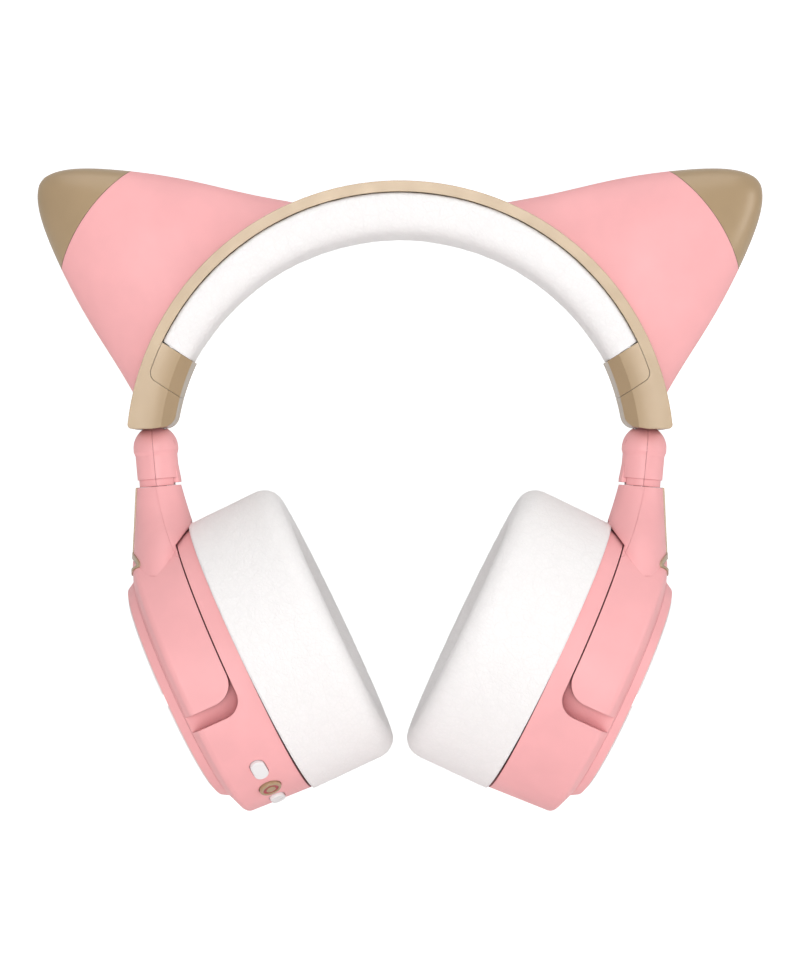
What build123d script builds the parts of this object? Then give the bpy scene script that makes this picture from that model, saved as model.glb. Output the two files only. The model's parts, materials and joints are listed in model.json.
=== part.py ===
from build123d import *
import os
from math import atan2, cos, degrees, radians, sin

# Wireless gaming headset with cat ears, folded arms and round ear cups.
# Millimetres. +X to the wearer's right, +Y ahead of the wearer, +Z up.
# Origin: middle of the headset across and fore-and-aft, at its lowest point.
# Heights below are drawn from a plane that FLOOR_LIFT raises to put that point at Z = 0.
# Everything is modelled for the wearer's left (-X) and mirrored for the right.
FLOOR_LIFT = 0.624

# ---- headband
BAND_Z = 111.4            # height of the centre of the band's arc
BAND_R = 85.9             # outer face of the band
BAND_WALL = 3.4
BAND_R_IN = BAND_R - BAND_WALL
CROWN_HALF_WIDTH = 18.0   # fore-and-aft, at the crown
END_HALF_WIDTH = 12.6     # fore-and-aft, at the arm ends
CROWN_Z = BAND_Z + BAND_R
ARM_END_Z = 120.1         # underside of the arm ends
PAD_END = 154.1           # band angle at which the pad meets the end cover, at the rim
PAD_END_IN = 155.3        # and at the inner face
PAD_INSET = 0.8           # the pad stands this far behind the band's edges
PAD_R_CROWN = 69.0
PAD_R_END = 71.7
COVER_END = 162.4         # band angle at which the end cover stops, at the rim
COVER_END_IN = 164.9      # and at the inner face
ARM_OVERLAP = 0.8         # degrees by which the band's arc runs into the arm ends, to make one piece
ARM_R_IN = 71.7           # inner face of the arm ends
ARM_BEVEL = 3.8           # bevel along the inner edges of the arm ends
ARM_DISH = 1.0            # how far the arm's flat sides fall back towards the bevel
ARM_FOOT = 175.0          # band angle beyond the lowest point of the arm ends
CAVITY_R = 74.6           # leaves a wall of 0.85 mm to the bevel
CAVITY_HALF_WIDTH = 9.5
SPRING_ANGLE = 147.0

# ---- adjustable arm and its hinge
HINGE = Vector(-77.5, 0, 114.3)
STRIP_TILT = 12.0
STRIP_THICK = 1.6
STRIP_HALF_WIDTH = 7.0
STRIP_TOP = 36.5          # from the hinge pin to the top of the strip
BLADE_FOOT = 7.35         # from the hinge pin to the strip's wide blade
STOP_LENGTH = 2.5
STOP_HALF_WIDTH = 9.0
GUIDE_Z = (122.0, 127.7)    # its top just clears the strip's stop, whose lower corner leans down
SLIDE_GAP = 0.12
SWIVEL_TILT = 5.0
KNUCKLE_R = 7.1
KNUCKLE_NECK_R = 6.65
KNUCKLE_FOOT = -9.9       # where the collar starts, below the pin
COLLAR_FOOT = -12.2
TAB_FOOT = -11.5          # stop tab beside the collar
COLLAR_R = 6.15
YOKE_TOP = -12.3
PIN_R = 1.5
RUNNING_GAP = 0.05
LUG_HALF_WIDTH = 2.4
LUG_R = 3.6

# ---- ear cup, along its own axis from the tilt pivot, positive to the head
PIVOT = Vector(-58.9, 0, 42.6)
CUP_TILT = 24.5
COVER_FACE = -13.7
CUP_FACE = -10.6
CUP_SHOULDER = -7.9
FORK_EDGE = 7.1
RECESS_EDGE = 7.5
CUP_RIM = 13.3
CUSHION_FACE = 44.0
CUP_R = 44.3
CUP_RIM_R = 45.3
CORE_R = 39.9
FORK_R = 40.3
COVER_R = 37.4
COVER_FACE_R = 35.6
CUSHION_R = 46.6
CUSHION_HOLE_R = 27.0
FORK_FOOT = -7.2          # below the pivot, up the cup
RECESS_FOOT = -12.3
CUP_BORE_R = 36.6
PIVOT_PIN_R = 2.0
PIVOT_PIN_END = 42.9
TRIM_PROUD = 0.5
TRIM_DEPTH = 0.7

# ---- controls and ports, by angle round the cup and distance along its axis
BUTTON_ANGLES = {"volume_up_button": 224.0, "power_button": 238.5, "volume_down_button": 252.0}
BUTTON_OFFSET = 3.2
BUTTON_FOOT = 40.5        # radius at which the cap's stem starts
BUTTON_STEM = 5.3
BUTTON_FLANGE = 0.9       # how far the flange reaches past the cap
PORT_OFFSET = 2.0
MIC_ANGLE, USB_ANGLE, JACK_ANGLE = 266.0, 286.0, 312.0
JACK_MOUTH = 43.8
JACK_BORE_R = 1.8
JACK_DEPTH = 12.0

# ---- ears
EAR_POINT = Vector(-113.7, 0, 198.8)
EAR_LEAN = 144.6          # direction of the ear's axis in the band's plane
EAR_PARTING = 18.9        # from the point down to the middle of the parting line
EAR_PARTING_R = 73.0
EAR_WALL = 2.0
# distance down from the point, half-width in the band's plane, half-depth
EAR_SECTIONS = [
    (78.4, 43.5, 15.2),
    (58.4, 36.0, 14.2),
    (37.4, 27.2, 12.6),
    (21.4, 19.2, 10.6),
    (9.8, 12.1, 7.8),
    (4.0, 7.4, 5.2),
    (1.2, 4.0, 2.9),
    (0.0, 1.5, 1.1),
]

BAND = Plane(origin=(0, 0, BAND_Z), x_dir=(1, 0, 0), z_dir=(0, -1, 0))
_c, _s = cos(radians(CUP_TILT)), sin(radians(CUP_TILT))
CUP = Plane(origin=PIVOT, x_dir=(0, 1, 0), z_dir=(_c, 0, _s))
_kc, _ks = cos(radians(SWIVEL_TILT)), sin(radians(SWIVEL_TILT))
KNUCKLE = Plane(origin=HINGE, x_dir=(_kc, 0, _ks), z_dir=(-_ks, 0, _kc))
_ec, _es = cos(radians(EAR_LEAN)), sin(radians(EAR_LEAN))
EAR_UP = Vector(_ec, 0, _es)
_sc, _ss = cos(radians(STRIP_TILT)), sin(radians(STRIP_TILT))
STRIP = Plane(origin=HINGE, x_dir=(_sc, 0, -_ss), z_dir=(_ss, 0, _sc))


# ---------------------------------------------------------------- helpers
def outline(*points):
    """Closed face through (x, y) or (x, y, corner radius) points."""
    face = make_face(Polyline(*[p[:2] for p in points], close=True))
    for point in points:
        if len(point) == 3:
            corner = face.vertices().sort_by_distance((point[0], point[1], 0))[0]
            face = fillet(corner, point[2])
    return face


def lathe(*points):
    """Solid turned about the local Z axis from (radius, height[, corner]) points."""
    return revolve(Plane.XZ * outline(*points), Axis.Z)


def ring(r_in, r_out, low, high):
    return lathe((r_in, low), (r_out, low), (r_out, high), (r_in, high))


def disc(radius, low, high):
    return Pos(0, 0, low) * Cylinder(
        radius, high - low, align=(Align.CENTER, Align.CENTER, Align.MIN))


def bar(x0, x1, half_y, z0, z1):
    return Pos((x0 + x1) / 2, 0, (z0 + z1) / 2) * Box(x1 - x0, 2 * half_y, z1 - z0)


def slab(face, half_y):
    """Extrude a face drawn in an upright plane equally to both sides."""
    return extrude(face, half_y, both=True)


def sector(r_in, r_out, from_deg, to_deg, from_in=None, to_in=None):
    """Face between two arcs about the origin, whose inner arc may start and stop at its own angles."""
    from_in = from_deg if from_in is None else from_in
    to_in = to_deg if to_in is None else to_in
    outer = CenterArc((0, 0), r_out, from_deg, to_deg - from_deg)
    inner = CenterArc((0, 0), r_in, from_in, to_in - from_in)
    return make_face([outer, Line(outer @ 1, inner @ 1), inner, Line(inner @ 0, outer @ 0)])


def arc_slab(r_in, r_out, from_deg, to_deg, half_y):
    """Stretch of a ring about the band's centre, both sides of the middle."""
    return slab(BAND * sector(r_in, r_out, from_deg, to_deg), half_y)


def y_rod(centre, radius, half_length):
    """Round bar along Y."""
    return Pos(*centre) * Rot(90, 0, 0) * Cylinder(radius, 2 * half_length)


def on(plane, solid):
    return plane.location * solid


def group(solids):
    return Compound(list(solids))


# ---------------------------------------------------------------- headband
def band_taper(inset=0.0):
    """Prism that narrows from the crown to the arm ends, seen from the side."""
    low, high = 100.0, CROWN_Z + 5
    slope = (CROWN_HALF_WIDTH - END_HALF_WIDTH) / (CROWN_Z - ARM_END_Z)
    half_low = END_HALF_WIDTH + slope * (low - ARM_END_Z) - inset
    half_high = END_HALF_WIDTH + slope * (high - ARM_END_Z) - inset
    face = outline((-half_low, low), (half_low, low), (half_high, high), (-half_high, high))
    return slab(Plane.YZ * face, 120)


def arm_end_profile():
    """Outer shape of the left arm end in the band's plane."""
    under = ARM_END_Z - BAND_Z
    below = outline((-95, -20), (-60, -20), (-60, under + 2.8), (-78, under), (-95, under))
    face = sector(ARM_R_IN, BAND_R, PAD_END, 180, PAD_END_IN) - below
    inner_corner = face.vertices().sort_by_distance((-ARM_R_IN + 0.6, under + 1.2, 0))[0]
    face = fillet(inner_corner, 4.4)
    outer_corner = face.vertices().sort_by_distance((-BAND_R, under, 0))[0]
    return fillet(outer_corner, 1.3)


def arm_cavity():
    """Space that holds the sliding strip inside an arm end."""
    room = arc_slab(CAVITY_R, BAND_R_IN, PAD_END - 1, ARM_FOOT + 3, CAVITY_HALF_WIDTH)
    return room - Pos(-77, 0, GUIDE_Z[0] - 20) * Box(30, 40, 40)


def knuckle_pocket():
    return Pos(*HINGE) * Sphere(KNUCKLE_R + 0.5)


def strip_slot(length):
    """Channel along the strip, with a sliding gap all round."""
    half = STRIP_THICK / 2 + SLIDE_GAP
    return on(STRIP, bar(-half, half, STRIP_HALF_WIDTH + SLIDE_GAP, 0, length))


def end_cover_region(gap=0.0):
    """Stretch of the arm end that the inner cover takes, with a rounded lower corner."""
    r_in, r_out = ARM_R_IN - 2, BAND_R_IN - 0.1 + gap
    slant = (COVER_END_IN - COVER_END) * 2 / (BAND_R_IN - ARM_R_IN)
    face = sector(
        r_in, r_out, PAD_END - 3, COVER_END + gap / 2, PAD_END - 3, COVER_END_IN + slant + gap / 2)
    corner = face.vertices().sort_by_distance(Vector(r_out, 0).rotate(Axis.Z, COVER_END))[0]
    return slab(BAND * fillet(corner, 3.0), 30)


def arm_side(tilt):
    """Room behind the arm's rear side: flat at the rim, falling back to a bevel at the inner face."""
    rim = CROWN_Z
    dish_start = BAND_R_IN + 1.0
    bevel_start = ARM_R_IN + ARM_BEVEL
    middle = (dish_start + bevel_start) / 2
    side = ThreePointArc((dish_start, 0), (middle, ARM_DISH / 4), (bevel_start, ARM_DISH))
    deep = (bevel_start - 14, ARM_DISH + 14)
    face = make_face([
        Line((rim, 0), (dish_start, 0)), side, Line((bevel_start, ARM_DISH), deep),
        Line(deep, (deep[0], 60)), Line((deep[0], 60), (rim, 60)), Line((rim, 60), (rim, 0))])
    room = Rot(-90, 0, 0) * revolve(Plane.XZ * face, Axis.Z)
    hinge_line = Pos(0, -END_HALF_WIDTH, ARM_END_Z)
    return hinge_line * Rot(tilt, 0, 0) * Pos(0, 0, BAND_Z - ARM_END_Z) * room


def arm_end():
    room = arm_side(degrees(atan2(CROWN_HALF_WIDTH - END_HALF_WIDTH, CROWN_Z - ARM_END_Z)))
    solid = slab(BAND * arm_end_profile(), 30) & room & mirror(room, about=Plane.XZ)
    return solid - arm_cavity() - knuckle_pocket() - strip_slot(12)


def end_cover():
    return arm_end() & end_cover_region()


def ear_screw_places():
    """Lines from the band's centre through each ear screw of the left ear."""
    return [BAND * Rot(0, 0, angle) * Rot(0, 90, 0) for angle in (131.0, 153.0)]


def ear_screw():
    return disc(1.8, BAND_R_IN + 0.1, BAND_R_IN + 1.3) + disc(1.0, BAND_R_IN + 1.3, BAND_R + 7)


def headband_shell():
    arc_end = PAD_END_IN + ARM_OVERLAP
    shell = arc_slab(BAND_R_IN, BAND_R, 180 - arc_end, arc_end, 30) & band_taper()
    housing = arm_end() - end_cover_region(0.12)
    for place in ear_screw_places():
        hole = disc(1.9, BAND_R_IN - 1, BAND_R_IN + 1.35) + disc(1.1, BAND_R_IN, BAND_R + 1)
        shell -= place * hole
        shell -= mirror(place * hole, about=Plane.YZ)
    return shell + housing + mirror(housing, about=Plane.YZ)


def headband_pad():
    """Padding under the band, thicker at the crown."""
    outer_end = Vector(BAND_R_IN - 0.1, 0).rotate(Axis.Z, PAD_END - 0.15)
    inner_end = Vector(PAD_R_END, 0).rotate(Axis.Z, PAD_END_IN - 0.15)
    outer_mirror = Vector(-outer_end.X, outer_end.Y)
    inner_mirror = Vector(-inner_end.X, inner_end.Y)
    face = make_face([
        ThreePointArc(outer_end, (0, BAND_R_IN - 0.1), outer_mirror),
        Line(outer_mirror, inner_mirror),
        ThreePointArc(inner_mirror, (0, PAD_R_CROWN), inner_end),
        Line(inner_end, outer_end),
    ])
    pad = slab(BAND * face, 30) & band_taper(PAD_INSET)
    spring_room = arc_slab(BAND_R_IN - 1.2, BAND_R_IN + 1, 180 - SPRING_ANGLE - 1, SPRING_ANGLE + 1, 6.4)
    strip_room = on(STRIP, bar(-1.3, 2.6, STOP_HALF_WIDTH + 0.4, 20, STRIP_TOP + 0.8))
    pad -= spring_room
    pad -= strip_room
    return pad - mirror(strip_room, about=Plane.YZ)


def spring_strip():
    return arc_slab(BAND_R_IN - 1.0, BAND_R_IN - 0.15, 180 - SPRING_ANGLE, SPRING_ANGLE, 6.0)


def slider_guide():
    """Block that fills the bottom of the cavity around the strip."""
    block = arc_slab(CAVITY_R + 0.1, BAND_R_IN - 0.1, 158, ARM_FOOT + 3, CAVITY_HALF_WIDTH - 0.1)
    low, high = GUIDE_Z
    block &= Pos(-77, 0, (low + high) / 2 + 0.05) * Box(30, 40, high - low)
    return block - strip_slot(40)


# ---------------------------------------------------------------- ears
def ear_body(wall=0.0):
    """Smooth horn of elliptical sections, standing on the band."""
    faces = []
    for drop, half_width, half_depth in EAR_SECTIONS:
        if half_width - wall < 1.0 or half_depth - wall < 0.8:
            continue
        section = Plane(origin=EAR_POINT - EAR_UP * drop, x_dir=(0, 1, 0), z_dir=EAR_UP)
        faces.append(section * Ellipse(half_depth - wall, half_width - wall))
    return loft(faces)


def parting_cylinder(gap=0.0):
    """Cuts the tip off along a line that bulges towards the point."""
    return y_rod(EAR_POINT - EAR_UP * (EAR_PARTING + EAR_PARTING_R), EAR_PARTING_R + gap, 40)


def ear_pieces():
    skin = ear_body()
    hollow = ear_body(EAR_WALL)
    band_space = y_rod((0, 0, BAND_Z), BAND_R + 0.06, 40)
    floor = y_rod((0, 0, BAND_Z), BAND_R + EAR_WALL, 40)
    shell = (skin & parting_cylinder()) - (hollow - floor) - band_space
    for place in ear_screw_places():
        shell += (place * disc(3.0, BAND_R + 0.06, BAND_R + 8)) & skin
        shell -= place * disc(1.05, BAND_R - 1, BAND_R + 7.4)
    tip = skin - hollow - parting_cylinder(0.1)
    return shell, tip


# ---------------------------------------------------------------- sliding arm
def slider_strip():
    half = STRIP_THICK / 2
    blade = bar(-half, half, STRIP_HALF_WIDTH, BLADE_FOOT, STRIP_TOP)
    blade += bar(-half, half, STOP_HALF_WIDTH, STRIP_TOP - STOP_LENGTH, STRIP_TOP)
    for step in range(5):
        notch = Pos(half, 0, 12 + 4 * step) * Rot(90, 0, 0) * Cylinder(0.35, 8)
        blade -= notch
    neck = bar(-half, half, LUG_HALF_WIDTH, 0, BLADE_FOOT)
    barrel = y_rod((0, 0, 0), LUG_R, LUG_HALF_WIDTH)
    strip = blade + neck + barrel - y_rod((0, 0, 0), PIN_R + RUNNING_GAP, 10)
    return on(STRIP, strip)


def knuckle_solid():
    body = lathe(
        (0, 0), (KNUCKLE_R, 0), (KNUCKLE_R, -1.0), (KNUCKLE_NECK_R, -2.4), (KNUCKLE_NECK_R, KNUCKLE_FOOT),
        (COLLAR_R, KNUCKLE_FOOT), (COLLAR_R, COLLAR_FOOT), (0, COLLAR_FOOT))
    body += Sphere(KNUCKLE_R) & bar(-9, 9, 9, 0, 9)
    body -= bar(4.95, 9, 9, COLLAR_FOOT, KNUCKLE_FOOT)
    flare = lathe(
        (5.35, -5.6), (KNUCKLE_NECK_R, -5.6), (7.2, -10.4), (7.2, TAB_FOOT), (5.35, TAB_FOOT))
    body += flare & bar(4, 9, 3.0, -14, 0)
    slot = y_rod((0, 0, 0), LUG_R + 0.3, LUG_HALF_WIDTH + 0.25)
    sweep = outline((-1.7, 0), (2.3, 0), (4.5, 8.5), (-1.7, 8.5))
    slot += slab(Plane.XZ * sweep, LUG_HALF_WIDTH + 0.25)
    notch = outline((5.9, 1.9), (9, 2.3), (9, -2.4), (7.3, -2.4))
    body -= slot
    body -= slab(Plane.XZ * notch, 10) - bar(0, 10, 2.9, -10, 10)
    body -= y_rod((0, 0, 0), PIN_R + 0.02, 6.6)
    body -= disc(2.5 + 0.02, -20, -7)
    return body - disc(4.25, -7.6, -5.4)


def knuckle_halves():
    solid = knuckle_solid()
    seam = -0.35
    outer = solid & bar(-20, seam - 0.03, 20, -30, 20)
    inner = solid & bar(seam + 0.03, 20, 20, -30, 20)
    return on(KNUCKLE, outer), on(KNUCKLE, inner)


def hinge_pin():
    return y_rod(HINGE, PIN_R, 6.5)


def swivel_bolt():
    bolt = disc(2.5, -19.5, -6) + disc(4.2, -7.5, -5.5) + disc(5.0, -20.0, -17.5)
    return on(KNUCKLE, bolt)


# ---------------------------------------------------------------- yoke
def neck_loft():
    """Neck of the yoke: round at the top, flaring into the fork."""
    # height, outer face X, inner face X, half-depth fore-and-aft
    sections = [
        (103.2, -83.3, -69.6, 6.9),
        (95.0, -83.7, -67.2, 10.0),
        (90.0, -83.9, -65.6, 14.3),
        (85.7, -84.1, -64.4, 18.9),
        (81.0, -84.3, -63.5, 22.6),
        (74.5, -84.5, -62.5, 27.0),
    ]
    faces = []
    for height, outer, inner, depth in sections:
        middle, half = (outer + inner) / 2, (inner - outer) / 2
        faces.append(Pos(middle, 0, height) * Ellipse(half, depth))
    return loft(faces)


def drum_profile():
    """Outside of the cup: a dished outer face and a nearly straight side."""
    return lathe(
        (0, CUP_FACE), (COVER_R + 0.3, CUP_FACE), (CUP_R, CUP_SHOULDER, 2.2),
        (CUP_RIM_R, CUP_RIM), (0, CUP_RIM))


def fork():
    """Half ring that lies flush in the side of the cup."""
    ring_part = drum_profile() & disc(60, -20, FORK_EDGE)
    side = outline((FORK_FOOT, -20), (FORK_FOOT, FORK_EDGE, 6.9), (60, FORK_EDGE), (60, -20))
    return ring_part & slab(Plane.YZ * side, 60)


def cup_room():
    """Everything the cup and cushion need inside the yoke."""
    room = Sphere(FORK_R)
    room += disc(CUP_RIM_R + 0.6, FORK_EDGE, CUP_RIM + 0.1)
    return room + disc(CUSHION_R + 0.5, CUP_RIM, 50)


def trim_outline(shrink):
    """Strip down the neck that ends in a plain oval ring."""
    strip = Pos(0, 90.8) * Rectangle(2.2 - 2 * shrink, 21.8 - 2 * shrink)
    oval = Ellipse(18.6 - shrink, 3.8 - shrink) - Ellipse(16.4 + shrink, 2.0 + shrink)
    return strip + Pos(0, 77.4) * oval


def trim_band(body, shrink=0.0):
    """Trim that stands proud of the yoke's outer face and is let into it."""
    upright = Plane(origin=(-95, 0, 0), x_dir=(0, 1, 0), z_dir=(1, 0, 0))
    reach = extrude(upright * trim_outline(shrink), 22)
    return (reach & Pos(-TRIM_PROUD, 0, 0) * body) - Pos(TRIM_DEPTH - shrink, 0, 0) * body


def neck_cover_region():
    """Inner side of the neck, beyond a curved parting line."""
    seam = ThreePointArc((-77.2, 103), (-74.1, 91.2), (-69.3, 80.4))
    face = make_face([
        seam, Line(seam @ 1, (-50, 80.4)), Line((-50, 80.4), (-50, 103)), Line((-50, 103), seam @ 0)])
    return slab(Plane.XZ * face, 40)


def yoke_pieces():
    body = neck_loft() + on(CUP, fork())
    room = on(CUP, cup_room())
    yoke = body - room
    yoke &= on(KNUCKLE, bar(-60, 100, 80, -150, YOKE_TOP))
    yoke -= on(KNUCKLE, disc(2.5 + RUNNING_GAP, -30, 0) + disc(5.15, -23, -17.4))
    yoke -= on(CUP, y_pins(PIVOT_PIN_R + 0.02, 30, PIVOT_PIN_END + 0.05))
    cover_region = neck_cover_region()
    cover = yoke & cover_region
    shell = yoke - cover_region - trim_band(body)
    return shell, cover, trim_band(body, 0.05) - room


def y_pins(radius, start, end):
    """Two round bars on the cup's pivot line, fore and aft."""
    rod = Rot(0, 90, 0) * disc(radius, start, end)
    return rod + mirror(rod, about=Plane.YZ)


def pivot_pins():
    return on(CUP, y_pins(PIVOT_PIN_R, 37.6, PIVOT_PIN_END))


# ---------------------------------------------------------------- ear cup
def at_side(angle, offset):
    """Frame on the cup's side: local Z points straight out, local Y along the axis."""
    return Plane(
        origin=(0, 0, offset),
        x_dir=(-sin(radians(angle)), cos(radians(angle)), 0),
        z_dir=(cos(radians(angle)), sin(radians(angle)), 0))


def button_face(name, grow=0.0):
    if name == "power_button":
        return Circle(3.5 + grow)
    return SlotOverall(8.0 + 2 * grow, 4.6 + 2 * grow)


def button(name):
    place = at_side(BUTTON_ANGLES[name], BUTTON_OFFSET)
    stem = extrude(Pos(0, 0, BUTTON_FOOT) * button_face(name), BUTTON_STEM)
    stem = fillet(stem.edges().group_by(Axis.Z)[-1], 0.5)
    if name == "power_button":
        stem -= ring(1.5, 2.5, BUTTON_FOOT + BUTTON_STEM - 0.25, 60)
    flange = extrude(Pos(0, 0, BUTTON_FOOT - 0.3) * button_face(name, BUTTON_FLANGE), 1.2)
    return on(CUP, place.location * (stem + flange))


def cup_housing(with_ports):
    recess = Plane.YZ * outline(
        (RECESS_FOOT, -20), (RECESS_FOOT, RECESS_EDGE, 6.0), (60, RECESS_EDGE), (60, -20))
    solid = drum_profile() - (slab(recess, 60) - Sphere(CORE_R))
    solid -= disc(CUP_BORE_R, CUP_FACE + 2, 11.25)
    solid -= disc(31.0, CUP_FACE - 1, CUP_FACE + 3)
    solid -= disc(42.0, 11.25, CUP_RIM + 1)
    button_room = ring(CUP_BORE_R - 1, 42.0, -5.5, 8.8)
    solid -= button_room & (Pos(0, -36, 0) * Box(90, 40, 60))
    for place in baffle_screw_places():
        solid -= place * disc(1.05, 8.2, 12)
    solid -= y_pins(PIVOT_PIN_R + RUNNING_GAP, 30, 45)
    if with_ports:
        solid = cut_controls(solid)
    return on(CUP, solid)


def cut_controls(solid):
    for name, angle in BUTTON_ANGLES.items():
        solid -= at_side(angle, BUTTON_OFFSET).location * extrude(
            Pos(0, 0, 40) * button_face(name, 0.15), 8)
    solid -= at_side(MIC_ANGLE, PORT_OFFSET).location * disc(0.7, 40, 50)
    solid -= at_side(JACK_ANGLE, PORT_OFFSET).location * disc(3.6, 30, 50)
    return solid - at_side(USB_ANGLE, PORT_OFFSET).location * extrude(
        Pos(0, 0, 38) * SlotOverall(9.8, 4.0), 12)


def cup_cover():
    cover = lathe(
        (0, COVER_FACE), (COVER_FACE_R, COVER_FACE, 0.9), (COVER_R, CUP_FACE - 0.06),
        (34.4, CUP_FACE - 0.06), (33.9, COVER_FACE + 1.8), (0, COVER_FACE + 1.8))
    cover += ring(29.3, 30.9, COVER_FACE + 1.5, CUP_FACE + 1.8)
    return on(CUP, cover - light_arcs(0.05))


def light_arcs(gap=0.0):
    """Two raised arcs near the rim of the cover, parted fore and aft."""
    full = ring(32.2 - gap, 33.6 + gap, COVER_FACE - 0.6, COVER_FACE + 0.6)
    return full - Box(90, 4.0 - 2 * gap, 60)


def baffle_screw_places():
    return [Rot(0, 0, angle) * Pos(39.2, 0, 0) for angle in (45, 135, 225, 315)]


def baffle():
    plate = ring(20.35, 41.85, 11.3, 13.2)
    for step in range(12):
        plate -= Rot(0, 0, 30 * step + 15) * Pos(29.5, 0, 0) * disc(1.6, 10, 15)
    for place in baffle_screw_places():
        plate -= place * (disc(1.1, 10, 15) + disc(1.95, 12.1, 15))
    return on(CUP, plate)


def baffle_screws():
    screw = disc(1.0, 8.4, 13.1) + disc(1.85, 12.15, 13.1)
    return on(CUP, group(place * screw for place in baffle_screw_places()))


def driver_pieces():
    frame = lathe(
        (8.0, 5.0), (17.5, 5.0), (20.2, 8.0), (20.2, 9.6), (23.0, 9.6), (23.0, 11.2),
        (20.2, 11.2), (20.2, 13.0), (18.9, 13.0), (18.9, 9.2), (16.8, 6.4), (8.0, 6.4))
    magnet = lathe((0, 0.5), (11.5, 0.5), (11.5, 4.9), (7.8, 4.9), (7.8, 7.6), (0, 7.6))
    membrane = lathe(
        (0, 12.0), (8.6, 11.3), (8.6, 8.6), (9.0, 8.6), (9.0, 11.2), (14.0, 10.4),
        (18.7, 10.2), (18.7, 10.6), (14.0, 10.8), (9.0, 11.7), (0, 12.4))
    return on(CUP, frame), on(CUP, magnet), on(CUP, membrane)


def cushion_ring():
    return on(CUP, ring(28.6, 41.6, CUP_RIM + 0.05, CUP_RIM + 1.5))


def grille_cloth():
    return on(CUP, disc(28.4, CUP_RIM + 0.6, CUP_RIM + 1.0))


def ear_cushion():
    back = CUP_RIM + 0.08
    lip = CUP_RIM + 1.65
    cushion = lathe(
        (CUSHION_HOLE_R, lip), (41.9, lip), (41.9, back), (CUSHION_R - 0.3, back, 2.0),
        (CUSHION_R, CUSHION_FACE, 6.5), (CUSHION_HOLE_R, CUSHION_FACE, 6.5))
    return on(CUP, cushion)


# ---------------------------------------------------------------- electronics
def circuit_board():
    board = disc(34.0, -7.4, -5.8) - Pos(0, 30, 0) * Box(30, 12, 30)
    board += Pos(-8, -6, -5.0) * Box(10, 10, 1.8)
    board += Pos(11, 4, -4.9) * Box(7, 7, 2.0)
    return on(CUP, board)


def battery():
    cell = Pos(0, 0, -5.0) * Box(38, 30, 6)
    return on(CUP, fillet(cell.edges().filter_by(Axis.X), 2.0))


def microphone():
    return on(CUP, at_side(MIC_ANGLE, PORT_OFFSET).location * disc(2.6, 39.0, 41.6))


def usb_port():
    shell = extrude(Pos(0, 0, 36.6) * SlotOverall(9.4, 3.6), 7.4)
    shell -= extrude(Pos(0, 0, 37.8) * SlotOverall(8.5, 2.7), 8)
    shell += extrude(Pos(0, 0, 37.6) * Rectangle(6.6, 0.7), 5.4)
    return on(CUP, at_side(USB_ANGLE, PORT_OFFSET).location * shell)


def audio_jack():
    sleeve = disc(3.4, JACK_MOUTH - JACK_DEPTH - 2, JACK_MOUTH)
    sleeve -= disc(JACK_BORE_R, JACK_MOUTH - JACK_DEPTH, JACK_MOUTH + 1)
    return on(CUP, at_side(JACK_ANGLE, PORT_OFFSET).location * sleeve)


# ---------------------------------------------------------------- assembly
def left_side():
    """Every piece that the left arm and cup share with the right one."""
    knuckle_outer, knuckle_inner = knuckle_halves()
    yoke_shell, yoke_neck_cover, yoke_trim = yoke_pieces()
    driver_frame, driver_magnet, driver_diaphragm = driver_pieces()
    ear_shell, ear_tip = ear_pieces()
    return {
        "end_cover": end_cover(),
        "ear_shell": ear_shell,
        "ear_tip": ear_tip,
        "slider_strip": slider_strip(),
        "knuckle_outer_half": knuckle_outer,
        "knuckle_inner_half": knuckle_inner,
        "hinge_pin": hinge_pin(),
        "swivel_bolt": swivel_bolt(),
        "yoke_shell": yoke_shell,
        "yoke_neck_cover": yoke_neck_cover,
        "yoke_trim": yoke_trim,
        "pivot_pins": pivot_pins(),
        "cup_cover": cup_cover(),
        "light_ring": on(CUP, light_arcs()),
        "baffle": baffle(),
        "baffle_screws": baffle_screws(),
        "driver_frame": driver_frame,
        "driver_magnet": driver_magnet,
        "driver_diaphragm": driver_diaphragm,
        "grille_cloth": grille_cloth(),
        "cushion_ring": cushion_ring(),
        "ear_cushion": ear_cushion(),
    }


def both_sides(solid):
    return group([solid, mirror(solid, about=Plane.YZ)])


def all_pieces():
    pieces = {
        "headband_shell": headband_shell(),
        "headband_pad": headband_pad(),
        "spring_strip": spring_strip(),
        "slider_guides": both_sides(slider_guide()),
        "ear_screws": group(
            solid
            for place in ear_screw_places()
            for solid in (place * ear_screw(), mirror(place * ear_screw(), about=Plane.YZ))),
        "cup_housing_left": cup_housing(True),
        "cup_housing_right": mirror(cup_housing(False), about=Plane.YZ),
        "circuit_board": circuit_board(),
        "battery": mirror(battery(), about=Plane.YZ),
        "microphone": microphone(),
        "usb_port": usb_port(),
        "audio_jack": audio_jack(),
    }
    for name in BUTTON_ANGLES:
        pieces[name] = button(name)
    for name, solid in left_side().items():
        pieces[name + "_left"] = solid
        pieces[name + "_right"] = mirror(solid, about=Plane.YZ)
    return pieces


os.makedirs("parts", exist_ok=True)
for node, solid in all_pieces().items():
    export_step(Pos(0, 0, FLOOR_LIFT) * solid, f"parts/{node}.step")
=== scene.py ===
import json
import math
import bpy
import numpy as np
from mathutils import Matrix, Vector, noise


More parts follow.
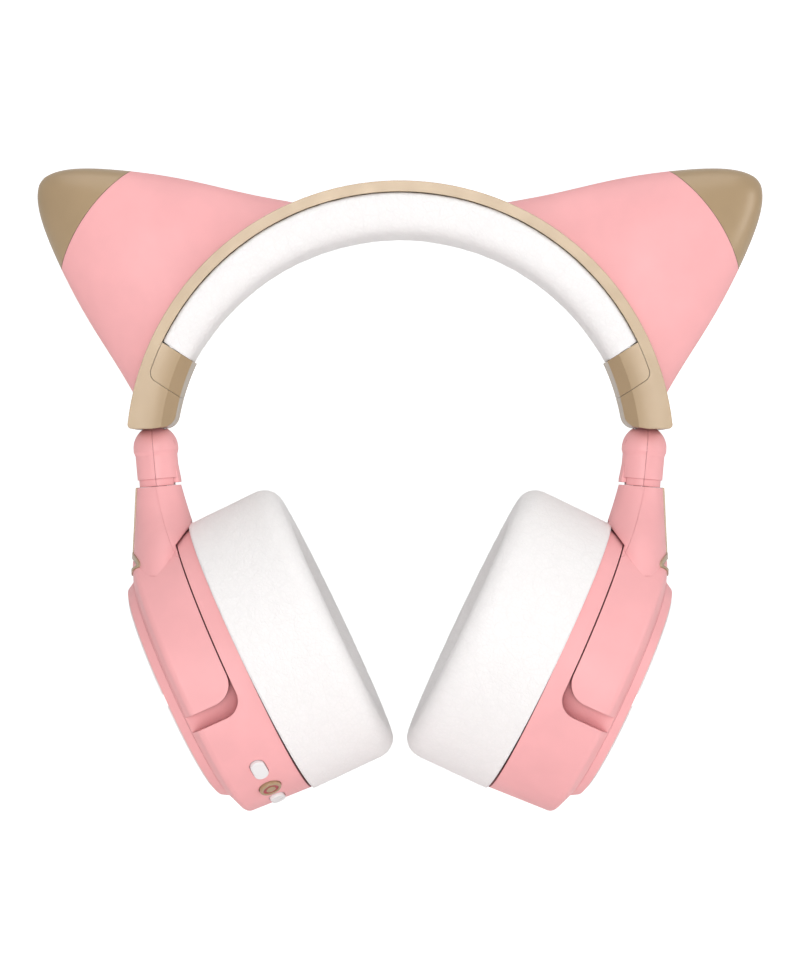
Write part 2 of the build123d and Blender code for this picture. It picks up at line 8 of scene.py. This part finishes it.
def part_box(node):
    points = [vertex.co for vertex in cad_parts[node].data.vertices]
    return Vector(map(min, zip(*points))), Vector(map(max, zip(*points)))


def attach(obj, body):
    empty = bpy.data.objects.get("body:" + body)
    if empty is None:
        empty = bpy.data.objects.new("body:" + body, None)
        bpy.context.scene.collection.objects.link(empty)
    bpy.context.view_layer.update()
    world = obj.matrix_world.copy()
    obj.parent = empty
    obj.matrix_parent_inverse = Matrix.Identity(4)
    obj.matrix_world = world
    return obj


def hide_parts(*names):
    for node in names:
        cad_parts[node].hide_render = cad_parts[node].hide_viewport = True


# Looks of a wireless gaming headset with cat ears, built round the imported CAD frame.
# Metres, +Z up, +Y ahead of the wearer. The camera stands behind the wearer and looks along +Y.

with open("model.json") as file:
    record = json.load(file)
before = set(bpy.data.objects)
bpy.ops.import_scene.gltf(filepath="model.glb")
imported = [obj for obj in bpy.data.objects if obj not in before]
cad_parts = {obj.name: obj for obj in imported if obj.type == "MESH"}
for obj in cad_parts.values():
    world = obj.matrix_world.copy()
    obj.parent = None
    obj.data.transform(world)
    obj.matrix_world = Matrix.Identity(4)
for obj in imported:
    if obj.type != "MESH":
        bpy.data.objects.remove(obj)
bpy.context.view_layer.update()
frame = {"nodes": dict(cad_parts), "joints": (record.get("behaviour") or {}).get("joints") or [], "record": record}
MM = 0.001
SIDES = {"left": 1, "right": -1}


# ---------------------------------------------------------------- places from the frame
def joint(name):
    return next(j for j in frame["joints"] if j["name"] == name)


PIVOT = Vector(joint("cup_tilt_left")["pos_m"])


def middle(node):
    low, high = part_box(node)
    return (low + high) / 2


# the magnet and the grille cloth are discs on the cup's axis, the grille nearer to the head
CUP_AXIS = (middle("grille_cloth_left") - middle("driver_magnet_left")).normalized()
CUP_UP = Vector((-CUP_AXIS.z, 0, CUP_AXIS.x))

# ---- headband, about the centre of its arc
BAND_R = 85.9 * MM
BAND_WALL = 3.4 * MM
BAND_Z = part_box("headband_shell")[1].z - BAND_R
PAD_TOP_R = BAND_R - BAND_WALL - 0.1 * MM
PAD_R_CROWN, PAD_R_END = 69.0 * MM, 71.7 * MM
PAD_END, PAD_END_IN = 154.1, 155.3    # degrees, where the pad stops at its top and at its inner face
CROWN_HALF_WIDTH = 18.0 * MM
END_HALF_WIDTH = 12.6 * MM
ARM_END_Z = 120.7 * MM

# ---- ear cups, by distance along their axis from the tilt pivot
CUP_RIM = 13.3 * MM
CUSHION_FACE = 44.0 * MM
CUSHION_R = 46.6 * MM
CUSHION_FACE_R = 47.3 * MM
CUSHION_FOOT_R = 44.0 * MM    # beyond this the cushion's back lies flat on the cup's rim
CUSHION_HOLE_R = 27.0 * MM
BUTTON_OFFSET = 3.2 * MM
RING_RADII = (1.5 * MM, 2.5 * MM)


# ---------------------------------------------------------------- node materials
class Shader:
    """A small helper that adds and links shader nodes."""

    def __init__(self, name):
        self.material = bpy.data.materials.new(name)
        self.material.use_nodes = True
        self.tree = self.material.node_tree
        self.tree.nodes.clear()
        self.output = self.tree.nodes.new("ShaderNodeOutputMaterial")
        self.surface = self.add("ShaderNodeBsdfPrincipled")
        self.link(self.surface.outputs[0], self.output.inputs["Surface"])
        self.place = self.add("ShaderNodeTexCoord").outputs["Object"]

    def add(self, kind, **settings):
        node = self.tree.nodes.new(kind)
        for key, value in settings.items():
            setattr(node, key, value)
        return node

    def link(self, source, target):
        self.tree.links.new(source, target)

    def feed(self, target, value):
        if isinstance(value, bpy.types.NodeSocket):
            self.link(value, target)
        elif value is not None:
            target.default_value = value

    def set(self, **values):
        for key, value in values.items():
            self.feed(self.surface.inputs[key.replace("_", " ")], value)

    def noise(self, scale, detail=2.0, rough=0.5, distortion=0.0, vector=None):
        node = self.add("ShaderNodeTexNoise")
        self.feed(node.inputs["Vector"], vector or self.place)
        node.inputs["Scale"].default_value = scale
        node.inputs["Detail"].default_value = detail
        node.inputs["Roughness"].default_value = rough
        node.inputs["Distortion"].default_value = distortion
        return node.outputs["Fac"]

    def cells(self, scale, feature="DISTANCE_TO_EDGE", vector=None):
        node = self.add("ShaderNodeTexVoronoi", feature=feature)
        self.feed(node.inputs["Vector"], vector or self.place)
        node.inputs["Scale"].default_value = scale
        return node.outputs["Distance"]

    def spread(self, value, low, high, to_low=0.0, to_high=1.0):
        node = self.add("ShaderNodeMapRange")
        self.feed(node.inputs["Value"], value)
        for key, number in (("From Min", low), ("From Max", high), ("To Min", to_low), ("To Max", to_high)):
            node.inputs[key].default_value = number
        return node.outputs["Result"]

    def math(self, operation, a, b=None):
        node = self.add("ShaderNodeMath", operation=operation)
        self.feed(node.inputs[0], a)
        self.feed(node.inputs[1], b)
        return node.outputs[0]

    def mix(self, factor, a, b):
        node = self.add("ShaderNodeMix", data_type="RGBA")
        self.feed(node.inputs["Factor"], factor)
        self.feed(node.inputs[6], a)
        self.feed(node.inputs[7], b)
        return node.outputs[2]

    def bump(self, height, distance, strength=1.0, normal=None):
        node = self.add("ShaderNodeBump")
        node.inputs["Strength"].default_value = strength
        node.inputs["Distance"].default_value = distance
        self.feed(node.inputs["Height"], height)
        self.feed(node.inputs["Normal"], normal)
        return node.outputs["Normal"]

    def edges(self, radius):
        """1 along sharp edges, 0 on flat faces."""
        bevel = self.add("ShaderNodeBevel", samples=4)
        bevel.inputs["Radius"].default_value = radius
        geometry = self.add("ShaderNodeNewGeometry")
        dot = self.add("ShaderNodeVectorMath", operation="DOT_PRODUCT")
        self.link(bevel.outputs["Normal"], dot.inputs[0])
        self.link(geometry.outputs["Normal"], dot.inputs[1])
        return self.spread(dot.outputs["Value"], 1.0, 0.8, 0.0, 1.0), bevel.outputs["Normal"]


    def painted_hollow_shade(self, reach, amount):
        """Painted shade: rises to the given amount where neighbouring surfaces close in."""
        shade = self.add("ShaderNodeAmbientOcclusion", samples=6)
        shade.inputs["Distance"].default_value = reach
        return self.spread(shade.outputs["AO"], 0.1, 0.6, amount, 0.0)

    def ring_mask(self, point, axis, inner, outer):
        """1 between two radii about an axis given in the object's own coordinates."""
        offset = self.add("ShaderNodeVectorMath", operation="SUBTRACT")
        self.link(self.place, offset.inputs[0])
        offset.inputs[1].default_value = point
        cross = self.add("ShaderNodeVectorMath", operation="CROSS_PRODUCT")
        self.link(offset.outputs[0], cross.inputs[0])
        cross.inputs[1].default_value = axis
        length = self.add("ShaderNodeVectorMath", operation="LENGTH")
        self.link(cross.outputs[0], length.inputs[0])
        distance = length.outputs["Value"]
        return self.math("MULTIPLY", self.math("GREATER_THAN", distance, inner),
                         self.math("LESS_THAN", distance, outer))


def tint(colour, factor):
    return tuple(min(1.0, c * factor) for c in colour[:3]) + (1.0,)


def moulded(name, colour, rough, edge_colour, edge_mix=0.5, grain=0.012 * MM, coat=0.0, metallic=0.0,
            hollow_shade=0.0, ring=None):
    """Moulded or painted plastic: faint mottling, fine grain, softened edges with painted edge highlight and edge
    shade, and painted shade where surfaces close in.

    ring is (a point on an axis, the axis, inner radius, outer radius, colour) for an inlaid ring.
    """
    s = Shader(name)
    mottle = s.noise(45.0, 3.0, 0.6)
    fine = s.noise(5200.0, 2.0, 0.6)
    base = s.mix(s.spread(mottle, 0.35, 0.65), tint(colour, 0.97), tint(colour, 1.03))
    edge, rounded = s.edges(0.35 * MM)
    # painted edge light and shade: edges, broken up by noise, are tinted towards edge_colour, a painted highlight
    # where it is lighter (gold) and painted shade where it is darker (pink)
    painted_edge_light_and_shade = s.math("MULTIPLY", edge, s.spread(s.noise(900.0, 3.0), 0.35, 0.65, edge_mix * 0.5, edge_mix))
    paintwork = s.mix(painted_edge_light_and_shade, base, edge_colour)
    # painted shade: where ambient occlusion finds surfaces closing in, the colour darkens towards half the edge
    # colour
    if hollow_shade:
        paintwork = s.mix(s.painted_hollow_shade(HOLLOW_SHADE_REACH, hollow_shade), paintwork, tint(edge_colour, 0.5))
    if ring:
        paintwork = s.mix(s.ring_mask(*ring[:4]), paintwork, ring[4])
    s.set(
        Base_Color=paintwork,
        Roughness=s.spread(s.noise(160.0, 4.0), 0.3, 0.7, rough - 0.05, rough + 0.05),
        Metallic=metallic,
        Normal=s.bump(fine, grain, 0.6, rounded),
        Specular_IOR_Level=0.45,
        Coat_Weight=coat,
        Coat_Roughness=0.25)
    return s.material


def leather(name, colour):
    """White protein leather: pebbled grain, fine creases, soft sheen."""
    s = Shader(name)
    warp = s.add("ShaderNodeVectorMath", operation="ADD")
    wobble = s.add("ShaderNodeTexNoise")
    s.feed(wobble.inputs["Vector"], s.place)
    wobble.inputs["Scale"].default_value = 260.0
    shift = s.add("ShaderNodeVectorMath", operation="SCALE")
    s.link(wobble.outputs["Color"], shift.inputs[0])
    shift.inputs["Scale"].default_value = 1.6 * MM
    s.link(s.place, warp.inputs[0])
    s.link(shift.outputs[0], warp.inputs[1])
    pebbles = s.cells(820.0, vector=warp.outputs[0])
    pebble = s.spread(pebbles, 0.0, 0.16)
    creases = s.spread(s.cells(210.0, vector=warp.outputs[0]), 0.0, 0.09)
    pores = s.noise(3400.0, 3.0, 0.6)
    height = s.math("ADD", s.math("MULTIPLY", pebble, 0.55), s.math("MULTIPLY", creases, 0.45))
    height = s.math("ADD", height, s.math("MULTIPLY", pores, 0.35))
    shade = s.math("MULTIPLY", pebble, creases)
    base = s.mix(s.spread(shade, 0.0, 1.0, 0.6, 1.0), tint(colour, 0.93), colour)
    soft = s.mix(s.spread(s.noise(30.0, 3.0), 0.3, 0.7, 0.0, 0.5), base, tint(colour, 0.97))
    s.set(
        Base_Color=soft,
        Roughness=s.spread(height, 0.3, 1.2, 0.62, 0.46),
        Normal=s.bump(height, 0.12 * MM, 0.8),
        Specular_IOR_Level=0.4,
        Sheen_Weight=0.15,
        Sheen_Roughness=0.4)
    return s.material


def cloth(name, colour):
    """Fine acoustic mesh: crossed threads with small open pores."""
    s = Shader(name)
    waves = []
    for direction in ("Y", "Z"):
        wave = s.add("ShaderNodeTexWave", bands_direction=direction)
        s.feed(wave.inputs["Vector"], s.place)
        wave.inputs["Scale"].default_value = 420.0
        wave.inputs["Distortion"].default_value = 0.25
        wave.inputs["Detail"].default_value = 1.0
        waves.append(wave.outputs["Fac"])
    weave = s.math("MAXIMUM", waves[0], waves[1])
    fuzz = s.noise(2600.0, 3.0)
    height = s.math("ADD", weave, s.math("MULTIPLY", fuzz, 0.3))
    s.set(
        Base_Color=s.mix(s.spread(weave, 0.2, 0.9), tint(colour, 0.35), colour),
        Roughness=0.85,
        Normal=s.bump(height, 0.12 * MM, 0.8),
        Sheen_Weight=0.3)
    return s.material


def brushed(name, colour, rough, stretch=(1.0, 14.0, 1.0)):
    """Brushed or plated metal with directional scratches and a painted highlight along its edges."""
    s = Shader(name)
    mapping = s.add("ShaderNodeMapping")
    s.link(s.place, mapping.inputs["Vector"])
    mapping.inputs["Scale"].default_value = stretch
    scratches = s.noise(1500.0, 4.0, 0.6, vector=mapping.outputs[0])
    edge, rounded = s.edges(0.2 * MM)
    # painted highlight: the base colour is a quarter lighter along edges
    s.set(
        Base_Color=s.mix(edge, s.mix(scratches, tint(colour, 0.88), colour), tint(colour, 1.25)),
        Metallic=1.0,
        Roughness=s.spread(scratches, 0.2, 0.8, rough - 0.07, rough + 0.1),
        Normal=s.bump(scratches, 0.01 * MM, 0.5, rounded))
    return s.material


PINK = (0.93, 0.44, 0.45, 1.0)
RED = (0.42, 0.03, 0.05, 1.0)
# GOLD_EDGE: the painted edge highlight of the gold, and at half strength its painted shade in recesses
GOLD_EDGE = (0.56, 0.42, 0.26, 1.0)
# how far the ambient occlusion reaches for the painted shade in recesses
HOLLOW_SHADE_REACH = 9 * MM
GOLD = (0.42, 0.293, 0.162, 1.0)
WHITE = (0.95, 0.925, 0.92, 1.0)

MATERIALS = {
    # the fourth value of each moulded material is painted onto its edges as painted edge light and shade: darker
    # rose on the pink, lighter on the gold
    "pink": moulded("soft_touch_pink", PINK, 0.46, (0.80, 0.24, 0.27, 1.0), 0.45, hollow_shade=0.75),
    "gold": moulded("champagne_gold", GOLD, 0.38, GOLD_EDGE, 0.5, metallic=0.1, coat=0.6, hollow_shade=0.5),
    "leather": leather("white_leather", WHITE),
    "white": moulded("satin_white", (0.86, 0.85, 0.85, 1.0), 0.3, (0.6, 0.58, 0.58, 1.0), 0.4, coat=0.2),
    "grey": moulded("dark_grey_plastic", (0.06, 0.06, 0.065, 1.0), 0.5, (0.15, 0.15, 0.16, 1.0), 0.4),
    "cloth": cloth("acoustic_mesh", (0.42, 0.40, 0.40, 1.0)),
    "spring": brushed("spring_steel", (0.55, 0.55, 0.56, 1.0), 0.32),
    "steel": brushed("plated_steel", (0.68, 0.68, 0.69, 1.0), 0.2, (1.0, 1.0, 1.0)),
    "ferrite": brushed("nickel_plating", (0.42, 0.42, 0.43, 1.0), 0.35, (4.0, 4.0, 4.0)),
    "board": moulded("solder_resist", (0.02, 0.12, 0.05, 1.0), 0.35, (0.25, 0.2, 0.08, 1.0), 0.5, coat=0.4),
    "film": moulded("polymer_film", (0.66, 0.63, 0.55, 1.0), 0.25, (0.5, 0.47, 0.4, 1.0), 0.3, coat=0.3),
}
LOOK_OF_SLOT = {
    "pink_plastic": "pink",
    "gold_plastic": "gold",
    "white_leather": "leather",
    "white_plastic": "white",
    "grey_plastic": "grey",
    "black_cloth": "cloth",
    "spring_steel": "spring",
    "screw_steel": "steel",
    "magnet_metal": "ferrite",
    "board": "board",
    "film": "film",
}


def paint(obj, material):
    obj.data.materials.clear()
    obj.data.materials.append(material)
    for face in obj.data.polygons:
        face.material_index = 0


def dress_cad_nodes():
    """Every CAD node that stays gets its slot's material; the power button has a red ring in its groove."""
    for part in frame["record"]["subparts"]:
        obj = frame["nodes"][part["node"]]
        paint(obj, MATERIALS[LOOK_OF_SLOT[part["material_slot"]]])
    on_axis = PIVOT + CUP_AXIS * BUTTON_OFFSET
    ring = (on_axis, joint("power_press")["axis"], *RING_RADII, RED)
    paint(frame["nodes"]["power_button"],
          moulded("gold_with_red_ring", GOLD, 0.38, GOLD_EDGE, 0.5, metallic=0.1, coat=0.6, ring=ring))


# ---------------------------------------------------------------- mesh building
def rounded_outline(corners, step):
    """Points along a closed outline of (x, y, corner radius), about one step apart."""
    count = len(corners)
    points = []
    for i, (x, y, radius) in enumerate(corners):
        here = np.array((x, y))
        before = np.array(corners[i - 1][:2]) - here
        after = np.array(corners[(i + 1) % count][:2]) - here
        a, b = before / np.linalg.norm(before), after / np.linalg.norm(after)
        half = math.acos(max(-1.0, min(1.0, float(a @ b)))) / 2
        back = radius / math.tan(half)
        start, end = here + a * back, here + b * back
        centre = here + (a + b) / np.linalg.norm(a + b) * (radius / math.sin(half))
        turn = math.pi - 2 * half
        pieces = max(2, round(radius * turn / step))
        u, v = start - centre, end - centre
        for k in range(pieces + 1):
            t = k / pieces
            swing = (math.sin((1 - t) * turn) * u + math.sin(t * turn) * v) / math.sin(turn)
            points.append(centre + swing)
    filled = []
    for i, point in enumerate(points):
        following = points[(i + 1) % len(points)]
        gap = np.linalg.norm(following - point)
        pieces = max(1, round(gap / step))
        filled += [point + (following - point) * k / pieces for k in range(pieces)]
    return np.array(filled)


def mesh_object(name, vertices, faces):
    mesh = bpy.data.meshes.new(name)
    mesh.from_pydata([tuple(v) for v in vertices], [], faces)
    mesh.update()
    mesh.polygons.foreach_set("use_smooth", [True] * len(mesh.polygons))
    obj = bpy.data.objects.new(name, mesh)
    bpy.context.scene.collection.objects.link(obj)
    return obj


def grid_faces(rows, columns, wrap_rows):
    """Quads of a grid of vertices whose columns wrap, and whose rows may."""
    faces = []
    for i in range(rows if wrap_rows else rows - 1):
        for j in range(columns):
            k, m = (i + 1) % rows, (j + 1) % columns
            faces.append((i * columns + j, i * columns + m, k * columns + m, k * columns + j))
    return faces


def read_points(obj):
    points = np.zeros(len(obj.data.vertices) * 3)
    obj.data.vertices.foreach_get("co", points)
    return points.reshape(-1, 3)


def write_points(obj, points):
    obj.data.vertices.foreach_set("co", points.ravel())
    obj.data.update()


def apply_modifiers(obj):
    graph = bpy.context.evaluated_depsgraph_get()
    mesh = bpy.data.meshes.new_from_object(obj.evaluated_get(graph))
    obj.modifiers.clear()
    obj.data = mesh
    mesh.polygons.foreach_set("use_smooth", [True] * len(mesh.polygons))


def inflate(obj, pressure, cap, pinned):
    """Blow a closed leather skin up for a few frames; no point may move further than cap."""
    rest = read_points(obj)
    group = obj.vertex_groups.new(name="held")
    group.add([int(i) for i in np.nonzero(pinned)[0]], 1.0, "REPLACE")
    cloth_modifier = obj.modifiers.new("skin", "CLOTH")
    settings = cloth_modifier.settings
    settings.quality = 6
    settings.mass = 0.25
    settings.tension_stiffness = 12
    settings.compression_stiffness = 12
    settings.shear_stiffness = 6
    settings.bending_stiffness = 0.6
    settings.use_pressure = True
    settings.uniform_pressure_force = pressure
    settings.vertex_group_mass = "held"
    settings.effector_weights.gravity = 0.0
    cloth_modifier.collision_settings.use_collision = False
    scene = bpy.context.scene
    cloth_modifier.point_cache.frame_start = 1
    cloth_modifier.point_cache.frame_end = 20
    for number in range(1, 21):
        scene.frame_set(number)
    apply_modifiers(obj)
    obj.vertex_groups.clear()
    scene.frame_set(1)
    moved = read_points(obj) - rest
    length = np.linalg.norm(moved, axis=1)
    share = np.where(length > cap, cap / np.maximum(length, 1e-9), 1.0)
    write_points(obj, rest + moved * share[:, None])


def subdivide(obj, levels=1):
    modifier = obj.modifiers.new("smooth", "SUBSURF")
    modifier.levels = levels
    modifier.render_levels = levels
    apply_modifiers(obj)


def crease(obj, amount, size, seed, keep=None):
    """Fine puckers and creases in the leather, as real geometry along the normals."""
    mesh = obj.data
    normals = np.zeros(len(mesh.vertices) * 3)
    mesh.vertices.foreach_get("normal", normals)
    normals = normals.reshape(-1, 3)
    points = read_points(obj)
    offset = Vector((seed * 7.3, seed * 3.1, seed * 5.7))
    rise = np.zeros(len(points))
    for i, point in enumerate(points):
        place = Vector(point) / size + offset
        ridge = 1.0 - abs(noise.noise(place)) * 2.0
        fine = noise.noise(place * 3.1)
        rise[i] = 0.7 * ridge * ridge + 0.3 * fine - 0.5
    if keep is not None:
        rise *= keep(points)
    write_points(obj, points + normals * (rise * amount)[:, None])


# ---------------------------------------------------------------- ear cushions
CUSHION_AROUND = 180
CUSHION_STEP = 1.6 * MM
SWELL = 1.1 * MM          # how far the foam pushes the leather out
STITCHES = 64


def cup_matrix(side):
    """From cup coordinates (fore-and-aft, up the cup, along the axis) to the frame."""
    matrix = Matrix.Translation(PIVOT) @ Matrix((
        (0, CUP_UP.x, CUP_AXIS.x, 0),
        (1, CUP_UP.y, CUP_AXIS.y, 0),
        (0, CUP_UP.z, CUP_AXIS.z, 0),
        (0, 0, 0, 1)))
    if side < 0:
        matrix = Matrix.Diagonal((-1, 1, 1, 1)) @ matrix
    return matrix


def cushion_section():
    """Section of the cushion as (radius, distance along the axis), smaller than its space by the swell."""
    base, lip = CUP_RIM + 0.05 * MM, CUP_RIM + 1.7 * MM
    face = CUSHION_FACE - 0.8 * SWELL
    outer, hole = CUSHION_FACE_R - 0.8 * SWELL, CUSHION_HOLE_R + 0.6 * SWELL
    return rounded_outline([
        (hole, lip, 1.0 * MM),
        (41.7 * MM, lip, 0.2 * MM),
        (42.4 * MM, base, 0.2 * MM),
        (CUSHION_R - 0.4 * MM, base, 0.5 * MM),
        (outer, face, 6.4 * MM),
        (hole, face, 7.5 * MM),
    ], CUSHION_STEP)


def ear_cushion(name, side):
    """Foam ring in white leather: swollen by simulation, then seamed and creased."""
    section = cushion_section()
    vertices = []
    for i in range(CUSHION_AROUND):
        turn = 2 * math.pi * i / CUSHION_AROUND
        for radius, along in section:
            vertices.append((radius * math.cos(turn), radius * math.sin(turn), along))
    faces = grid_faces(CUSHION_AROUND, len(section), True)
    cushion = mesh_object("ear_cushion_cover_" + name, vertices, faces)
    inflate(cushion, 4.0, SWELL, read_points(cushion)[:, 2] < CUP_RIM + 2.4 * MM)
    subdivide(cushion)
    crease(cushion, 0.13 * MM, 3.0 * MM, 3 if side > 0 else 5)
    settle_cushion(cushion)
    cushion.data.transform(cup_matrix(side))
    if side < 0:
        cushion.data.flip_normals()
    paint(cushion, MATERIALS["leather"])
    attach(cushion, "cup_" + name)
    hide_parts("ear_cushion_" + name)


def settle_cushion(cushion):
    """Rest the back on the cup, sink a seam inside the opening, and pucker the leather beside it."""
    points = read_points(cushion)
    radius = np.hypot(points[:, 0], points[:, 1])
    turn = np.arctan2(points[:, 1], points[:, 0])
    back = np.where(radius < 42.1 * MM, CUP_RIM + 1.62 * MM, CUP_RIM + 0.04 * MM)
    points[:, 2] = np.maximum(points[:, 2], back)
    foot = (radius > CUSHION_FOOT_R) & (points[:, 2] < CUP_RIM + 0.6 * MM)
    points[foot, 2] = CUP_RIM + 0.04 * MM
    inner = 1 / (1 + np.exp((radius - CUSHION_HOLE_R - 5 * MM) / (0.8 * MM)))
    seam_at = CUSHION_FACE - 8.5 * MM
    seam = np.exp(-((points[:, 2] - seam_at) / (0.8 * MM)) ** 2) * inner
    puckers = np.exp(-((points[:, 2] - seam_at) / (4.5 * MM)) ** 2) * inner * np.sin(turn * STITCHES)
    scale = 1 + (seam * 0.9 * MM + puckers * 0.16 * MM) / np.maximum(radius, 1 * MM)
    points[:, :2] *= scale[:, None]
    write_points(cushion, points)


# ---------------------------------------------------------------- headband pad
PAD_ROWS = 150
PAD_COLUMNS = 72
PAD_SWELL = 1.0 * MM


def band_half_width(height):
    """The band narrows in a straight line from its crown to the arm ends."""
    crown = BAND_Z + BAND_R
    share = (height - ARM_END_Z) / (crown - ARM_END_Z)
    return END_HALF_WIDTH + (CROWN_HALF_WIDTH - END_HALF_WIDTH) * share


def pad_inner_radius(angle):
    """Inner face of the pad: an arc through its crown and its ends, so thickest at the crown."""
    away = (abs(angle - 90.0) / (PAD_END_IN - 90.0)) ** 2
    return PAD_R_CROWN + (PAD_R_END - PAD_R_CROWN) * away


def pad_end_angle(radius):
    """The slanted line where the pad meets the end cover."""
    share = (PAD_TOP_R - radius) / (PAD_TOP_R - PAD_R_END)
    return PAD_END + (PAD_END_IN - PAD_END) * share + 0.6


def pad_point(share, radius, depth):
    """A point of the pad from -1 to 1 along the band."""
    turn = math.radians(90 - share * (pad_end_angle(radius) - 90))
    return radius * math.cos(turn), depth, BAND_Z + radius * math.sin(turn)


def pad_section(share):
    angle = 90 + abs(share) * (PAD_END - 90)
    half = band_half_width(BAND_Z + BAND_R * math.sin(math.radians(angle))) - 0.4 * MM
    inner = pad_inner_radius(angle) + 0.8 * PAD_SWELL
    low = half - 0.8 * PAD_SWELL
    outline = rounded_outline([
        (PAD_TOP_R, -half, 0.5 * MM), (inner, -low, 5.0 * MM),
        (inner, low, 5.0 * MM), (PAD_TOP_R, half, 0.5 * MM)], 1.4 * MM)
    return resample(outline, PAD_COLUMNS)


def headband_pad():
    """Leather pad under the band, swollen by simulation, with closed ends."""
    vertices = []
    for i in range(PAD_ROWS):
        share = -1 + 2 * i / (PAD_ROWS - 1)
        vertices += [pad_point(share, radius, depth) for radius, depth in pad_section(share)]
    faces = grid_faces(PAD_ROWS, PAD_COLUMNS, False)
    for row, turn in ((0, 1), (PAD_ROWS - 1, -1)):
        rim = [row * PAD_COLUMNS + j for j in range(PAD_COLUMNS)]
        centre = np.mean([vertices[k] for k in rim], axis=0)
        ring = []
        for k in rim:
            ring.append(len(vertices))
            vertices.append(tuple(np.array(vertices[k]) * 0.6 + centre * 0.4))
        hub = len(vertices)
        vertices.append(tuple(centre))
        for j in range(PAD_COLUMNS):
            m = (j + 1) % PAD_COLUMNS
            faces.append((rim[j], ring[j], ring[m], rim[m])[::turn])
            faces.append((ring[j], hub, ring[m])[::turn])
    pad = mesh_object("headband_pad_cover", vertices, faces)
    points = read_points(pad)
    reach = np.hypot(points[:, 0], points[:, 2] - BAND_Z)
    end_rows = np.arange(len(points)) >= PAD_ROWS * PAD_COLUMNS
    end_rows[:PAD_COLUMNS] = True
    end_rows[(PAD_ROWS - 1) * PAD_COLUMNS:] = True
    inflate(pad, 4.0, PAD_SWELL, (reach > PAD_TOP_R - 1.0 * MM) | end_rows)
    subdivide(pad)
    crease(pad, 0.12 * MM, 3.0 * MM, 9)
    settle_pad(pad)
    paint(pad, MATERIALS["leather"])
    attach(pad, "headband")
    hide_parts("headband_pad")


def settle_pad(pad):
    """Keep the pad under the band and short of the end covers."""
    points = read_points(pad)
    x, z = points[:, 0], points[:, 2] - BAND_Z
    reach = np.minimum(np.hypot(x, z), PAD_TOP_R)
    away = np.degrees(np.arctan2(np.abs(x), z))
    share = (PAD_TOP_R - reach) / (PAD_TOP_R - PAD_R_END)
    limit = PAD_END + (PAD_END_IN - PAD_END) * share - 0.04 - 90
    away = np.radians(np.minimum(away, limit))
    points[:, 0] = np.sign(x) * reach * np.sin(away)
    points[:, 2] = BAND_Z + reach * np.cos(away)
    write_points(pad, points)


def resample(outline, count):
    """The same closed outline with a given number of evenly spaced points."""
    closed = np.vstack([outline, outline[:1]])
    steps = np.linalg.norm(np.diff(closed, axis=0), axis=1)
    travelled = np.concatenate([[0.0], np.cumsum(steps)])
    wanted = np.linspace(0, travelled[-1], count, endpoint=False)
    return np.column_stack([np.interp(wanted, travelled, closed[:, k]) for k in (0, 1)])


# ---------------------------------------------------------------- stage, light, camera
def area_light(name, place, target, size, power):
    data = bpy.data.lights.new(name, "AREA")
    data.shape = "RECTANGLE"
    data.size, data.size_y = size
    data.energy = power
    lamp = bpy.data.objects.new(name, data)
    lamp.location = place
    lamp.rotation_euler = (Vector(target) - Vector(place)).to_track_quat("-Z", "Y").to_euler()
    bpy.context.scene.collection.objects.link(lamp)


FLOOR_Z = -34 * MM        # just below the lowest point that the cups reach with the arms extended
FLOOR_GLOW = 0.1          # light that the floor gives to the headset
FLOOR_GLOW_SEEN = 0.55    # and as the camera sees it, which keeps the floor pale


def floor():
    """A plain pale floor that runs up into a pale backdrop."""
    half, rise = 3.0, 3.0
    profile = [(-half, 0.0), (1.2, 0.0)]
    for k in range(1, 13):
        turn = math.radians(90 * k / 12)
        profile.append((1.2 + 0.6 * math.sin(turn), 0.6 - 0.6 * math.cos(turn)))
    profile.append((1.8, rise))
    vertices = [(x, y, z + FLOOR_Z) for y, z in profile for x in (-half, half)]
    faces = [(2 * i, 2 * i + 1, 2 * i + 3, 2 * i + 2) for i in range(len(profile) - 1)]
    ground = mesh_object("pale_floor", vertices, faces)
    s = Shader("pale_floor")
    seen = s.add("ShaderNodeLightPath").outputs["Is Camera Ray"]
    s.set(Base_Color=(0.93, 0.93, 0.93, 1.0), Roughness=0.9, Specular_IOR_Level=0.1,
          Emission_Color=(1.0, 1.0, 1.0, 1.0),
          Emission_Strength=s.spread(seen, 0.0, 1.0, FLOOR_GLOW, FLOOR_GLOW_SEEN))
    paint(ground, s.material)


def world_light(strength):
    """Even light from all round; the camera sees it as plain white."""
    world = bpy.data.worlds.new("studio")
    world.use_nodes = True
    tree = world.node_tree
    background = tree.nodes["Background"]
    background.inputs["Color"].default_value = (1.0, 1.0, 1.0, 1.0)
    path = tree.nodes.new("ShaderNodeLightPath")
    share = tree.nodes.new("ShaderNodeMapRange")
    share.inputs["To Min"].default_value = strength
    tree.links.new(path.outputs["Is Camera Ray"], share.inputs["Value"])
    tree.links.new(share.outputs["Result"], background.inputs["Strength"])
    bpy.context.scene.world = world


def camera():
    """Behind the wearer, level with the middle of the headset, with a long lens."""
    data = bpy.data.cameras.new("camera")
    data.sensor_width = 36.0
    distance = 0.886
    px_per_metre = 3150.0
    image_height = 960
    data.lens = data.sensor_width * distance * px_per_metre / image_height
    cam = bpy.data.objects.new("camera", data)
    cam.location = (0, -distance, 104.7 * MM)
    cam.rotation_euler = (math.radians(90), 0, 0)
    bpy.context.scene.collection.objects.link(cam)
    bpy.context.scene.camera = cam


def studio():
    """Soft light from all round, a broad panel behind the camera and one softbox on the right."""
    floor()
    world_light(0.5)
    area_light("front_panel", (0, -1.3, 110 * MM), (0, 0, 110 * MM), (0.55, 0.5), 7.2)
    area_light("overhead", (0, -0.3, 1.2), (0, 0, 0.1), (1.2, 0.8), 3.0)
    area_light("right_softbox", (1.0, -0.35, 0.3), (0.08, 0, 0.15), (0.25, 0.6), 1.4)
    camera()
    bpy.context.scene.view_settings.view_transform = "Standard"


dress_cad_nodes()
for side_name, side_sign in SIDES.items():
    ear_cushion(side_name, side_sign)
headband_pad()
studio()
